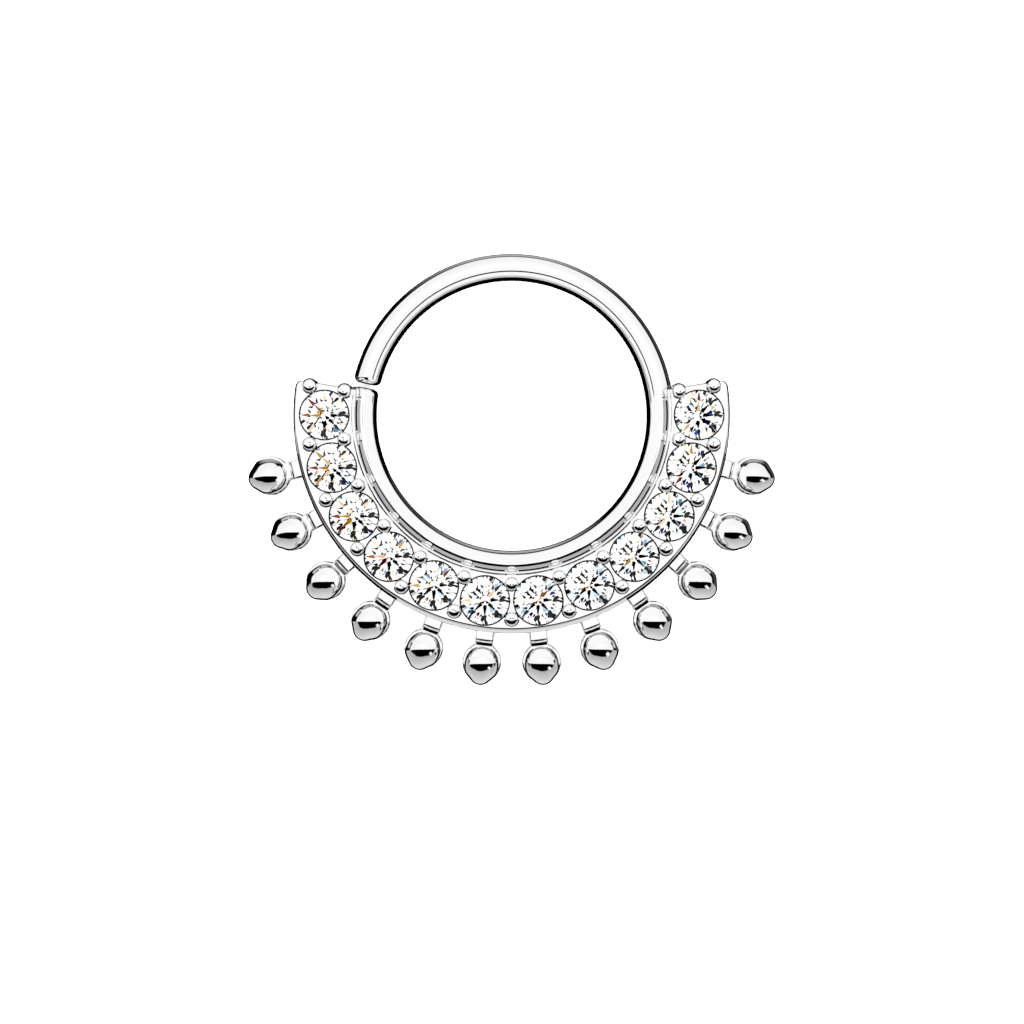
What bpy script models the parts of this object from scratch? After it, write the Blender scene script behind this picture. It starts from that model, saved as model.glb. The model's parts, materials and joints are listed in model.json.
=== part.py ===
"""Bendable hoop ring: a cut wire hoop, a half-moon gallery set with round stones, a fringe of domed drops.

The ring lies on its flat back with its face up, so the hoop's plane is parallel to XY. Everything is placed
round the hoop's centre, which an empty holds. Sizes are in millimetres and become metres as meshes are made.
"""

import math

import bmesh
import bpy
from mathutils import Vector

MM = 0.001
WELD = 1e-7
SHARP_EDGE = 50.0
FLAT_EDGE = 1.0
TOLERANCE = 0.01

# Hoop wire, bent almost full circle and cut once.
WIRE_RADIUS = 0.4
HOOP_RADIUS = 4.385
WIRE_Z = 0.45
CUT_ANGLE = 168.4
CUT_GAP = 0.13
CUT_ROUNDING = 0.18
HOOP_SEGMENTS = 60
ROUNDING_STEPS = 3
WIRE_BEVEL_RESOLUTION = 4

# Half-moon gallery: a flat band round the lower half of the hoop.
GALLERY_INNER = 4.59
GALLERY_OUTER = 6.41
GALLERY_TOP = 1.15
GALLERY_OVERRUN = 1.22
CORNER_RADIUS = 0.2
CORNER_STEPS = 3
OUTER_BEVEL = 0.17
INNER_BEVEL = 0.09
BEVEL_STEPS = 3
GALLERY_SEGMENTS = 40

# Round brilliant stones, side by side along the gallery.
STONE_COUNT = 12
STONE_PITCH = 180.0 / (STONE_COUNT - 1)
STONE_ROW_RADIUS = 5.49
STONE_RADIUS = 0.715
GIRDLE_THICKNESS = 0.03
GIRDLE_TOP = GALLERY_TOP
TABLE_SHARE = 0.57
STAR_SHARE = 0.5
LOWER_HALF_SHARE = 0.22
CROWN_ANGLE = 34.5
PAVILION_ANGLE = 40.75
STONE_FOLD = 8

# Seats, the open holes behind them, and the windows in the gallery's inner wall.
SEAT_GAP = 0.02
SEAT_SIDES = 20
BACK_HOLE_RADIUS = 0.52
CUTTER_OVERRUN = 0.2
WINDOW_WIDTH = 0.9
WINDOW_BOTTOM = 0.83
WINDOW_TOP = 1.0
WINDOW_REACH = 0.55

# Prongs: a round-headed post at each end of every bridge between stones, notched by the stones' seats.
PRONG_RADIUS = 0.205
PRONG_BASE_Z = 0.3
PRONG_HEAD_Z = 1.215
INNER_PRONG_ROW = 4.945
OUTER_PRONG_ROW = 5.975
PRONG_SIDES = 10
HEAD_STEPS = 3

# Ribs: half-round bars up the gallery's inner wall, between the windows.
RIB_RADIUS = 0.17
RIB_ROW = 4.66
RIB_TOP = 1.03
RIB_SIDES = 10

# Drops: flat stems that carry domed, egg-shaped drops on thin bases.
DROP_COUNT = 12
DROP_PITCH = 13.84
STEM_WIDTH = 0.52
STEM_TOP = 0.42
STEM_START = 6.3
STEM_END = 7.05
BASE_TOP = 0.3
BASE_RADIUS = 0.56
BASE_TIP_RADIUS = 0.3
DOME_RADIUS = 0.5
DOME_TIP_RADIUS = 0.28
DOME_FOOT_Z = 0.25
DROP_CENTRE = 7.36
DROP_TIP_CENTRE = 7.724
SHOULDER_START = 6.8
DOME_TURN_STEPS = 8
EGG_STEPS = 6

HOOP_OUTER = HOOP_RADIUS + WIRE_RADIUS
DROP_REACH = DROP_TIP_CENTRE * math.cos(math.radians(DROP_PITCH / 2)) + BASE_TIP_RADIUS
HOOP_CENTRE_Y = (DROP_REACH - HOOP_OUTER) / 2


def clear_scene():
    for thing in list(bpy.data.objects):
        bpy.data.objects.remove(thing, do_unlink=True)


def new_collection(name, parent):
    made = bpy.data.collections.new(name)
    parent.children.link(made)
    return made


def principled(name, colour, roughness, metallic, transmission=0.0, ior=1.5):
    material = bpy.data.materials.new(name)
    material.use_nodes = True
    shader = material.node_tree.nodes["Principled BSDF"]
    shader.inputs["Base Color"].default_value = (*colour, 1.0)
    shader.inputs["Roughness"].default_value = roughness
    shader.inputs["Metallic"].default_value = metallic
    shader.inputs["Transmission Weight"].default_value = transmission
    shader.inputs["IOR"].default_value = ior
    return material


def polar(radius, degrees, z=0.0):
    """A point in millimetres round the hoop's centre."""
    angle = math.radians(degrees)
    return Vector((radius * math.cos(angle), radius * math.sin(angle), z))


def arc(centre, radius, start, end, steps):
    """Points of a flat arc in degrees, both ends included."""
    return [centre + polar(radius, start + (end - start) * i / steps) for i in range(steps + 1)]


def add_object(name, data, collection, parent, location=(0, 0, 0), turn=0.0, cutter=False):
    made = bpy.data.objects.new(name, data)
    collection.objects.link(made)
    made.parent = parent
    made.location = Vector(location) * MM
    made.rotation_euler.z = math.radians(turn)
    if cutter:
        made.hide_render = True
        made.display_type = "WIRE"
    return made


def shade(mesh):
    mesh.shade_smooth()
    mesh.set_sharp_from_angle(angle=math.radians(SHARP_EDGE))


def mesh_of(data):
    """The evaluated mesh of a curve, with the loose caps welded to the sides and faces pointing out."""
    carrier = bpy.data.objects.new("carrier", data)
    bpy.context.scene.collection.objects.link(carrier)
    evaluated = carrier.evaluated_get(bpy.context.evaluated_depsgraph_get())
    mesh = bpy.data.meshes.new_from_object(evaluated)
    bpy.data.objects.remove(carrier, do_unlink=True)
    mesh.name = data.name
    shaped = bmesh.new()
    shaped.from_mesh(mesh)
    bmesh.ops.remove_doubles(shaped, verts=shaped.verts, dist=WELD)
    bmesh.ops.recalc_face_normals(shaped, faces=shaped.faces)
    shaped.to_mesh(mesh)
    shaped.free()
    return mesh


def tube_mesh(name, points, radii):
    """A round bar along points, with its radius given at each."""
    data = bpy.data.curves.new(name, "CURVE")
    data.dimensions = "3D"
    data.bevel_depth = MM
    data.bevel_resolution = WIRE_BEVEL_RESOLUTION
    data.use_fill_caps = True
    spline = data.splines.new("POLY")
    spline.points.add(len(points) - 1)
    for target, point, radius in zip(spline.points, points, radii):
        target.co = (*(point * MM), 1.0)
        target.radius = radius
    return mesh_of(data)


def flat_mesh(name, outline, bottom, top):
    """A flat plate of the closed outline between two heights, with one face at each side."""
    data = bpy.data.curves.new(name, "CURVE")
    data.dimensions = "2D"
    data.fill_mode = "BOTH"
    data.extrude = (top - bottom) / 2 * MM
    spline = data.splines.new("POLY")
    spline.points.add(len(outline) - 1)
    for target, point in zip(spline.points, outline):
        target.co = (point.x * MM, point.y * MM, 0.0, 1.0)
    spline.use_cyclic_u = True
    mesh = mesh_of(data)
    shaped = bmesh.new()
    shaped.from_mesh(mesh)
    bmesh.ops.translate(shaped, verts=shaped.verts, vec=(0, 0, (top + bottom) / 2 * MM))
    bmesh.ops.dissolve_limit(
        shaped, angle_limit=math.radians(FLAT_EDGE), verts=shaped.verts, edges=shaped.edges
    )
    shaped.to_mesh(mesh)
    shaped.free()
    return mesh


def turned_mesh(name, profile, steps, sweep=360.0):
    """A profile of (radius, height) points turned about Z by a Screw modifier."""
    mesh = bpy.data.meshes.new(name)
    points = [(radius * MM, 0.0, height * MM) for radius, height in profile]
    mesh.from_pydata(points, [(i, i + 1) for i in range(len(points) - 1)], [])
    carrier = bpy.data.objects.new("carrier", mesh)
    bpy.context.scene.collection.objects.link(carrier)
    screw = carrier.modifiers.new("Turn", "SCREW")
    screw.angle = math.radians(sweep)
    screw.steps = steps
    screw.render_steps = steps
    screw.use_merge_vertices = True
    screw.merge_threshold = WELD
    evaluated = carrier.evaluated_get(bpy.context.evaluated_depsgraph_get())
    turned = bpy.data.meshes.new_from_object(evaluated)
    bpy.data.objects.remove(carrier, do_unlink=True)
    turned.name = name
    return turned


def hoop_mesh():
    """The wire, from one side of the cut right round to the other, with rounded ends."""
    half_cut = math.degrees(CUT_GAP / 2 / HOOP_RADIUS)
    start = CUT_ANGLE + half_cut
    end = CUT_ANGLE + 360 - half_cut
    rounding = [90 * (1 - i / ROUNDING_STEPS) for i in range(ROUNDING_STEPS + 1)]
    insets = [CUT_ROUNDING * (1 - math.sin(math.radians(a))) for a in rounding]
    narrowed = [WIRE_RADIUS - CUT_ROUNDING * (1 - math.cos(math.radians(a))) for a in rounding]
    inset_degrees = [math.degrees(inset / HOOP_RADIUS) for inset in insets]
    first, last = start + inset_degrees[-1], end - inset_degrees[-1]
    run = [first + (last - first) * i / HOOP_SEGMENTS for i in range(1, HOOP_SEGMENTS)]
    angles = [start + a for a in inset_degrees] + run + [end - a for a in reversed(inset_degrees)]
    radii = narrowed + [WIRE_RADIUS] * len(run) + narrowed[::-1]
    return tube_mesh("hoop_wire", [polar(HOOP_RADIUS, a, WIRE_Z) for a in angles], radii)


def gallery_outline():
    """Outer arc, rounded outer corners, straight ends and inner arc of the half-moon."""
    half_span = 90 + STONE_PITCH / 2 + GALLERY_OVERRUN
    start, end = 270 - half_span, 270 + half_span
    corner_reach = GALLERY_OUTER - CORNER_RADIUS
    corner_turn = math.degrees(math.asin(CORNER_RADIUS / corner_reach))
    first = polar(corner_reach, start + corner_turn)
    last = polar(corner_reach, end - corner_turn)
    outline = arc(first, CORNER_RADIUS, start - 90, start + corner_turn, CORNER_STEPS)
    outline += arc(Vector(), GALLERY_OUTER, start + corner_turn, end - corner_turn, GALLERY_SEGMENTS)[1:-1]
    outline += arc(last, CORNER_RADIUS, end - corner_turn, end + 90, CORNER_STEPS)
    outline += arc(Vector(), GALLERY_INNER, end, start, GALLERY_SEGMENTS)
    return outline


def round_top_edges(shaped, lowest, highest, width):
    """Rounds over the face's edges whose middles lie between two radii from the hoop's centre."""
    rim = []
    for edge in shaped.edges:
        first, second = (vert.co for vert in edge.verts)
        middle = (first + second) / 2
        flat = min(first.z, second.z) > (GALLERY_TOP - TOLERANCE) * MM
        if flat and lowest * MM < middle.xy.length < highest * MM:
            rim.append(edge)
    bmesh.ops.bevel(
        shaped,
        geom=rim,
        offset=width * MM,
        segments=BEVEL_STEPS,
        profile=0.5,
        affect="EDGES",
        clamp_overlap=False,
    )


def gallery_mesh():
    """The half-moon plate, its face's edges rounded over."""
    mesh = flat_mesh("half_moon", gallery_outline(), 0.0, GALLERY_TOP)
    shaped = bmesh.new()
    shaped.from_mesh(mesh)
    round_top_edges(shaped, GALLERY_OUTER - CORNER_RADIUS, GALLERY_OUTER + TOLERANCE, OUTER_BEVEL)
    round_top_edges(shaped, 0, GALLERY_INNER + TOLERANCE, INNER_BEVEL)
    shaped.to_mesh(mesh)
    shaped.free()
    shade(mesh)
    return mesh


def seat_mesh():
    """The space that a stone takes up with its clearance, and the open hole behind it."""
    seat_radius = STONE_RADIUS + SEAT_GAP
    crown_height = STONE_RADIUS * (1 - TABLE_SHARE) * math.tan(math.radians(CROWN_ANGLE))
    cone_top = GIRDLE_TOP - GIRDLE_THICKNESS - SEAT_GAP
    cone_depth = (seat_radius - BACK_HOLE_RADIUS) * math.tan(math.radians(PAVILION_ANGLE))
    head = GIRDLE_TOP + crown_height + SEAT_GAP
    profile = [
        (0.0, head),
        (STONE_RADIUS * TABLE_SHARE + SEAT_GAP, head),
        (seat_radius, GIRDLE_TOP + SEAT_GAP),
        (seat_radius, cone_top),
        (BACK_HOLE_RADIUS, cone_top - cone_depth),
        (BACK_HOLE_RADIUS, -CUTTER_OVERRUN),
        (0.0, -CUTTER_OVERRUN),
    ]
    return turned_mesh("seat", profile, SEAT_SIDES)


def box_mesh(name, low, high):
    mesh = bpy.data.meshes.new(name)
    shaped = bmesh.new()
    bmesh.ops.create_cube(shaped, size=1.0)
    bmesh.ops.scale(shaped, verts=shaped.verts, vec=(high - low) * MM)
    bmesh.ops.translate(shaped, verts=shaped.verts, vec=(low + high) / 2 * MM)
    shaped.to_mesh(mesh)
    shaped.free()
    return mesh


def prong_mesh():
    """A straight post with a half-round head."""
    head = arc(Vector((0, PRONG_HEAD_Z, 0)), PRONG_RADIUS, 90, 0, HEAD_STEPS)
    profile = [(point.x, point.y) for point in head] + [(PRONG_RADIUS, PRONG_BASE_Z), (0.0, PRONG_BASE_Z)]
    profile[0] = (0.0, profile[0][1])
    mesh = turned_mesh("prong", profile, PRONG_SIDES)
    shade(mesh)
    return mesh


def rib_mesh():
    """A straight bar that ends below the gallery's rounded inner edge."""
    profile = [(0.0, RIB_TOP), (RIB_RADIUS, RIB_TOP), (RIB_RADIUS, PRONG_BASE_Z), (0.0, PRONG_BASE_Z)]
    mesh = turned_mesh("rib", profile, RIB_SIDES)
    shade(mesh)
    return mesh


def egg_half_outline(big, small):
    """Half of an egg: a big arc, then a small one where their common tangent ends, as points (along, out)."""
    tangent = math.degrees(math.acos((big - small) / (DROP_TIP_CENTRE - DROP_CENTRE)))
    first = arc(Vector((DROP_CENTRE, 0, 0)), big, 180, tangent, EGG_STEPS)
    return first + arc(Vector((DROP_TIP_CENTRE, 0, 0)), small, tangent, 0, EGG_STEPS // 2)


def dome_mesh():
    """The upper half of an egg lying along +X, with a flat foot inside the base."""
    outline = egg_half_outline(DOME_RADIUS, DOME_TIP_RADIUS)
    profile = [(point.y, -point.x) for point in outline]
    profile[0] = (0.0, profile[0][1])
    profile[-1] = (0.0, profile[-1][1])
    mesh = turned_mesh("drop_dome", profile, DOME_TURN_STEPS, 180.0)
    shaped = bmesh.new()
    shaped.from_mesh(mesh)
    for vert in shaped.verts:
        along, across, up = -vert.co.z, vert.co.x, abs(vert.co.y)
        vert.co = (along, across, up + DOME_FOOT_Z * MM)
    bmesh.ops.remove_doubles(shaped, verts=shaped.verts, dist=WELD)
    bmesh.ops.holes_fill(shaped, edges=[edge for edge in shaped.edges if edge.is_boundary], sides=0)
    bmesh.ops.recalc_face_normals(shaped, faces=shaped.faces)
    shaped.to_mesh(mesh)
    shaped.free()
    shade(mesh)
    return mesh


def base_mesh():
    """The thin egg-shaped base under a dome, with hollow shoulders that run out to the stem."""
    half = egg_half_outline(BASE_RADIUS, BASE_TIP_RADIUS)
    shoulder = Vector((SHOULDER_START, STEM_WIDTH / 2, 0))
    half = [shoulder] + [point for point in half if point.y > STEM_WIDTH / 2 or point.x > DROP_CENTRE]
    other = [Vector((point.x, -point.y, 0)) for point in reversed(half[:-1])]
    mesh = flat_mesh("drop_base", half + other, 0.0, BASE_TOP)
    shade(mesh)
    return mesh


def stone_mesh():
    """A round brilliant: table, star, main and girdle facets above, main and girdle facets below."""
    step = 360 / STONE_FOLD
    crown = math.tan(math.radians(CROWN_ANGLE))
    pavilion = math.tan(math.radians(PAVILION_ANGLE))
    half_turn = math.cos(math.radians(step / 2))
    inner = TABLE_SHARE * half_turn
    star = inner + STAR_SHARE * (1 - inner)
    rings = (
        (TABLE_SHARE, 0.0, (1 - TABLE_SHARE) * crown, STONE_FOLD),
        (star, step / 2, (1 - star * half_turn) * crown, STONE_FOLD),
        (1.0, 0.0, 0.0, 2 * STONE_FOLD),
        (1.0, 0.0, -GIRDLE_THICKNESS / STONE_RADIUS, 2 * STONE_FOLD),
        (
            LOWER_HALF_SHARE,
            step / 2,
            -GIRDLE_THICKNESS / STONE_RADIUS - (1 - LOWER_HALF_SHARE * half_turn) * pavilion,
            STONE_FOLD,
        ),
    )
    shaped = bmesh.new()
    for radius, phase, height, count in rings:
        for i in range(count):
            shaped.verts.new(polar(radius, phase + 360 * i / count, height))
    shaped.verts.new((0, 0, -GIRDLE_THICKNESS / STONE_RADIUS - pavilion))
    hull = bmesh.ops.convex_hull(shaped, input=shaped.verts)
    bmesh.ops.delete(shaped, geom=hull["geom_unused"], context="VERTS")
    bmesh.ops.dissolve_limit(
        shaped, angle_limit=math.radians(FLAT_EDGE), verts=shaped.verts, edges=shaped.edges
    )
    bmesh.ops.scale(shaped, verts=shaped.verts, vec=Vector((1, 1, 1)) * STONE_RADIUS * MM)
    bmesh.ops.recalc_face_normals(shaped, faces=shaped.faces)
    mesh = bpy.data.meshes.new("stone")
    shaped.to_mesh(mesh)
    shaped.free()
    return mesh


def boolean(target, name, operation, operands):
    modifier = target.modifiers.new(name, "BOOLEAN")
    modifier.operation = operation
    modifier.operand_type = "COLLECTION"
    modifier.collection = operands
    modifier.solver = "EXACT"


def stone_angles():
    return [180 + STONE_PITCH * i for i in range(STONE_COUNT)]


def drop_angles():
    first = 270 - DROP_PITCH * (DROP_COUNT - 1) / 2
    return [first + DROP_PITCH * i for i in range(DROP_COUNT)]


def place_prongs(collection, parent):
    """An inner and an outer prong at each bridge and each end, and a rib on the wall below the inner one."""
    prong, rib = prong_mesh(), rib_mesh()
    for i in range(STONE_COUNT + 1):
        angle = 180 + STONE_PITCH * (i - 0.5)
        name = f"{i + 1:02d}"
        pieces = (
            ("inner_prong_", prong, INNER_PRONG_ROW),
            ("outer_prong_", prong, OUTER_PRONG_ROW),
            ("rib_", rib, RIB_ROW),
        )
        for kind, mesh, row in pieces:
            add_object(kind + name, mesh, collection, parent, polar(row, angle), angle, cutter=True)


def place_cutters(collection, parent):
    seat = seat_mesh()
    window = box_mesh(
        "window",
        Vector((GALLERY_INNER - CUTTER_OVERRUN, -WINDOW_WIDTH / 2, WINDOW_BOTTOM)),
        Vector((GALLERY_INNER + WINDOW_REACH, WINDOW_WIDTH / 2, WINDOW_TOP)),
    )
    for i, angle in enumerate(stone_angles()):
        place = polar(STONE_ROW_RADIUS, angle)
        add_object(f"seat_{i + 1:02d}", seat, collection, parent, place, angle, cutter=True)
        add_object(f"window_{i + 1:02d}", window, collection, parent, turn=angle, cutter=True)


def place_soldered(collection, parent):
    """The hoop and every stem, base and dome, which a union joins to the gallery."""
    add_object("hoop_wire", hoop_mesh(), collection, parent, cutter=True)
    stem = box_mesh(
        "stem",
        Vector((STEM_START, -STEM_WIDTH / 2, 0)),
        Vector((STEM_END, STEM_WIDTH / 2, STEM_TOP)),
    )
    base, dome = base_mesh(), dome_mesh()
    for i, angle in enumerate(drop_angles()):
        for name, mesh in (("stem", stem), ("base", base), ("dome", dome)):
            add_object(f"{name}_{i + 1:02d}", mesh, collection, parent, turn=angle, cutter=True)


def main():
    clear_scene()
    root = bpy.context.scene.collection
    ring = new_collection("bendable_hoop_ring", root)
    prongs = new_collection("prongs", root)
    cutters = new_collection("cutters", root)
    soldered = new_collection("soldered_pieces", root)
    centre = add_object("hoop_centre", None, ring, None, (0, HOOP_CENTRE_Y, 0))
    steel = principled("polished_steel", (0.86, 0.87, 0.88), 0.08, 1.0)
    crystal = principled("clear_crystal", (1.0, 1.0, 1.0), 0.0, 0.0, 1.0, 2.15)

    place_prongs(prongs, centre)
    place_cutters(cutters, centre)
    place_soldered(soldered, centre)
    setting = add_object("hoop_setting", gallery_mesh(), ring, centre)
    setting.data.materials.append(steel)
    boolean(setting, "Prongs", "UNION", prongs)
    boolean(setting, "Seats and windows", "DIFFERENCE", cutters)
    boolean(setting, "Hoop and drops", "UNION", soldered)

    stone = stone_mesh()
    stone.materials.append(crystal)
    for i, angle in enumerate(stone_angles()):
        place = polar(STONE_ROW_RADIUS, angle, GIRDLE_TOP)
        add_object(f"stone_{i + 1:02d}", stone, ring, centre, place, angle)


main()
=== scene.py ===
"""The finished look of a bendable hoop ring: bright wire, a gallery of round stones, a fringe of domed drops.

Sizes are in millimetres round the hoop's centre until a mesh is made. The ring lies on its flat back with its
face up, and the camera looks straight down at it.
"""

import json
import logging
import math
from collections.abc import Callable, Iterable, Mapping, Sequence
from dataclasses import dataclass
from enum import Enum

import bpy
import numpy as np
from bpy.types import Material, Mesh, Node, NodeSocket, Object, World
from mathutils import Matrix

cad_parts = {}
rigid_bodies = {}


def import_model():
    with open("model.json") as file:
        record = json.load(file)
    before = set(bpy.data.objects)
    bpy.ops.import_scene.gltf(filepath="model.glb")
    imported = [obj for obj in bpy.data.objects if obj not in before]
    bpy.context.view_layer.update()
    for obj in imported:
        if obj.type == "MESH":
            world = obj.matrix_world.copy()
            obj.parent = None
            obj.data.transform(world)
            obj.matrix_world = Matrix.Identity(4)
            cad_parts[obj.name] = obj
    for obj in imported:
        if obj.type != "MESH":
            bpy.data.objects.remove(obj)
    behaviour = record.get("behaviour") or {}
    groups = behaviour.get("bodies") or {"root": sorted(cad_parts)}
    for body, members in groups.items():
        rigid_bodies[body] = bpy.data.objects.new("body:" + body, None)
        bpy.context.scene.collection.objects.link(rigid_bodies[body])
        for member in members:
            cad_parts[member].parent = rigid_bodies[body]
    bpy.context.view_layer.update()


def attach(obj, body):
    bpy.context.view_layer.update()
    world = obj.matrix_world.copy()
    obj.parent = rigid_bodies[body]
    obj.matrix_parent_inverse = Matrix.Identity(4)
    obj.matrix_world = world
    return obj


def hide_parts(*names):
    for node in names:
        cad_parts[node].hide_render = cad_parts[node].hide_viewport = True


LOG = logging.getLogger("hoop_ring")
MM = 0.001
CRISP = 40.0
Array = np.ndarray
Pole = Array | None
Pair = tuple[float, float]
Colour = tuple[float, float, float]
Numbers = tuple[float, ...]
Number = "Value | float"
Inputs = Mapping[str | int, object]


class Slot(Enum):
    """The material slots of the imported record."""

    STEEL = "polished_steel"
    CRYSTAL = "clear_crystal"


class Rays(Enum):
    """Which rays of a render may meet a piece of studio equipment."""

    ALL = ("camera", "diffuse", "glossy", "transmission", "volume_scatter", "shadow")
    FLOOR = ("camera", "diffuse", "shadow")
    REFLECTED = ("glossy",)


# Shapes


@dataclass
class Shell:
    """A closed surface: its points in millimetres, and arrays of faces with a row of corners for each."""

    points: Array
    faces: list[Array]

    def outward(self) -> "Shell":
        """The same surface with its faces pointing outwards.

        The volume tells. Every face is a fan of triangles, and each adds the triple product of its corners.

        Returns:
            This shell, or one with each row of corners reversed.
        """
        total = 0.0
        for block in self.faces:
            corners = self.points[block]
            total += float((corners[:, :1] * np.cross(corners[:, 1:-1], corners[:, 2:])).sum())
        if total >= 0:
            return self
        return Shell(self.points, [block[:, ::-1] for block in self.faces])

    def moved(self, x: float = 0.0, y: float = 0.0, z: float = 0.0) -> "Shell":
        """A copy of the shell, shifted by x, y and z millimetres."""
        return Shell(self.points + (x, y, z), self.faces)

    def turned(self, degrees: float) -> "Shell":
        """A copy of the shell, turned round the hoop's centre.

        Args:
            degrees: The turn, anticlockwise as the camera sees it.

        Returns:
            The copy: x and y are the old ones combined by the angle's cosine and sine.
        """
        cosine, sine = math.cos(math.radians(degrees)), math.sin(math.radians(degrees))
        x, y, z = self.points.T
        return Shell(np.column_stack((x * cosine - y * sine, x * sine + y * cosine, z)), self.faces)

    def mesh(self, name: str, centre_y: float, sharp: float = CRISP, unit: float = MM) -> Mesh:
        """A smoothly shaded mesh.

        Args:
            name: Its name.
            centre_y: The hoop's centre along Y, in millimetres.
            sharp: Edges that turn by more degrees than this stay crisp.
            unit: A millimetre's length in the mesh.

        Returns:
            The mesh.
        """
        made = bpy.data.meshes.new(name)
        places = (self.points + (0.0, centre_y, 0.0)) * unit
        made.from_pydata(places.tolist(), [], [face for block in self.faces for face in block.tolist()])
        made.shade_smooth()
        made.set_sharp_from_angle(angle=math.radians(sharp))
        return made


def joined(shells: Iterable[Shell]) -> Shell:
    """Several shells as one.

    Args:
        shells: The shells, which may touch or overlap.

    Returns:
        One shell, with corner numbers raised by the points before them.
    """
    points, faces, count = [], [], 0
    for shell in shells:
        points.append(shell.points)
        faces += [block + count for block in shell.faces]
        count += len(shell.points)
    return Shell(np.concatenate(points), faces)


def lattice(index: Array) -> Array:
    """Four-cornered faces between rings that follow each other, from a row of corner numbers for each."""
    index = np.hstack((index, index[:, :1]))
    return np.stack((index[:-1, :-1], index[1:, :-1], index[1:, 1:], index[:-1, 1:]), axis=-1).reshape(-1, 4)


def bridged(ring: Array) -> Array:
    """The faces across a ring whose second half runs back beside its first."""
    out, back = ring.reshape(2, -1)
    return np.column_stack((out[:-1], out[1:], back[-2::-1], back[:0:-1]))


def capped(rings: Array, first: Pole = None, last: Pole = None, bridge: bool = False) -> Shell:
    """Closed rings joined one to the next, with an end at each side.

    Args:
        rings: Points by ring, place in the ring, and coordinate.
        first: The point where a fan closes the first ring, or None for a flat end.
        last: The same for the last ring.
        bridge: True to span flat ends by a band of small faces, for a long bent outline.

    Returns:
        The closed shell.
    """
    index = np.arange(rings[..., 0].size).reshape(rings.shape[:2])
    points, faces = [rings.reshape(-1, 3)], [lattice(index)]
    for pole, ring in ((first, index[0]), (last, index[-1, ::-1])):
        if pole is None:
            faces.append(bridged(ring) if bridge else ring[None, :])
            continue
        tip = np.full(len(ring), sum(len(p) for p in points))
        points.append(pole.reshape(1, 3))
        faces.append(np.column_stack((ring, np.roll(ring, -1), tip)))
    return Shell(np.concatenate(points), faces).outward()


def full_turn(count: int) -> Array:
    """Even steps of a full turn, in radians."""
    return np.arange(count) * 2 * math.pi / count


def polar(radius: Array | float, angle: Array | float, height: Array | float) -> Array:
    """Points round the upright axis: x and y are the radius times an angle's cosine and sine, in radians."""
    return np.stack(np.broadcast_arrays(radius * np.cos(angle), radius * np.sin(angle), height), axis=-1)


def turned_profile(profile: Array, sides: int) -> Shell:
    """A profile turned about the upright axis: rows of radius and height, with both ends on the axis."""
    rings = polar(profile[1:-1, :1], full_turn(sides), profile[1:-1, 1:])
    return capped(rings, *(np.array((0.0, 0.0, height)) for height in profile[[0, -1], 1]))


def swept(section: Array, start: float, end: float, steps: int) -> Shell:
    """A closed section of radii and heights, carried from one angle in degrees to another, with flat ends."""
    angle = np.radians(np.linspace(start, end, steps + 1))[:, None]
    return capped(polar(section[:, 0], angle, section[:, 1]))


def slanted(foot: float, low: float, head: float, high: float, thickness: float) -> Array:
    """A four-cornered section that may lean: rows of radius and height, foot first."""
    return np.array([(foot, low), (foot + thickness, low), (head + thickness, high), (head, high)])


def arc(centre: Sequence[float], radius: float, start: float, end: float, steps: int) -> Array:
    """A flat arc between two angles in degrees: the centre plus the radius times the cosine and sine."""
    angle = np.radians(np.linspace(start, end, steps + 1))
    return np.column_stack((centre[0] + radius * np.cos(angle), centre[1] + radius * np.sin(angle)))


def rounded_plate(
    outline: Array, width: Array | float, top: float, steps: int, steepness: float = 1.0, bridge: bool = False
) -> Shell:
    """A flat plate on the ground whose upper edge is rounded over.

    The rounding is a quarter ellipse: at each step the outline has moved inwards by the width times one less
    the step's cosine, and stands below the top by the width times the steepness times one less its sine.

    Args:
        outline: Rows of x and y, anticlockwise.
        width: The rounding's width, or one for each point.
        top: The height of the face.
        steps: Steps of the rounding.
        steepness: Its height over its width.
        bridge: True to span the flat faces by bands of small ones.

    Returns:
        The closed shell.
    """
    ahead = np.roll(outline, -1, axis=0) - np.roll(outline, 1, axis=0)
    ahead /= np.linalg.norm(ahead, axis=1, keepdims=True)
    inward = np.column_stack((-ahead[:, 1], ahead[:, 0]))
    width = np.broadcast_to(width, len(outline))[:, None]
    rings = [np.column_stack((outline, np.zeros(len(outline))))]
    for turn in np.linspace(0, math.pi / 2, steps + 1):
        level = top - width * steepness * (1 - math.sin(turn))
        rings.append(np.hstack((outline + inward * width * (1 - math.cos(turn)), level)))
    return capped(np.array(rings), bridge=bridge)


def slab(outline: Array, low: float, high: float) -> Shell:
    """A plain slab between two heights: the outline at the low one, joined to its copy at the high one."""
    rings = [np.column_stack((outline, np.full(len(outline), level))) for level in (low, high)]
    return capped(np.array(rings))


def rectangle(left: float, near: float, right: float, far: float) -> Array:
    """A rectangle's corners as rows of x and y, anticlockwise."""
    return np.array([(left, near), (right, near), (right, far), (left, far)])


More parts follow.
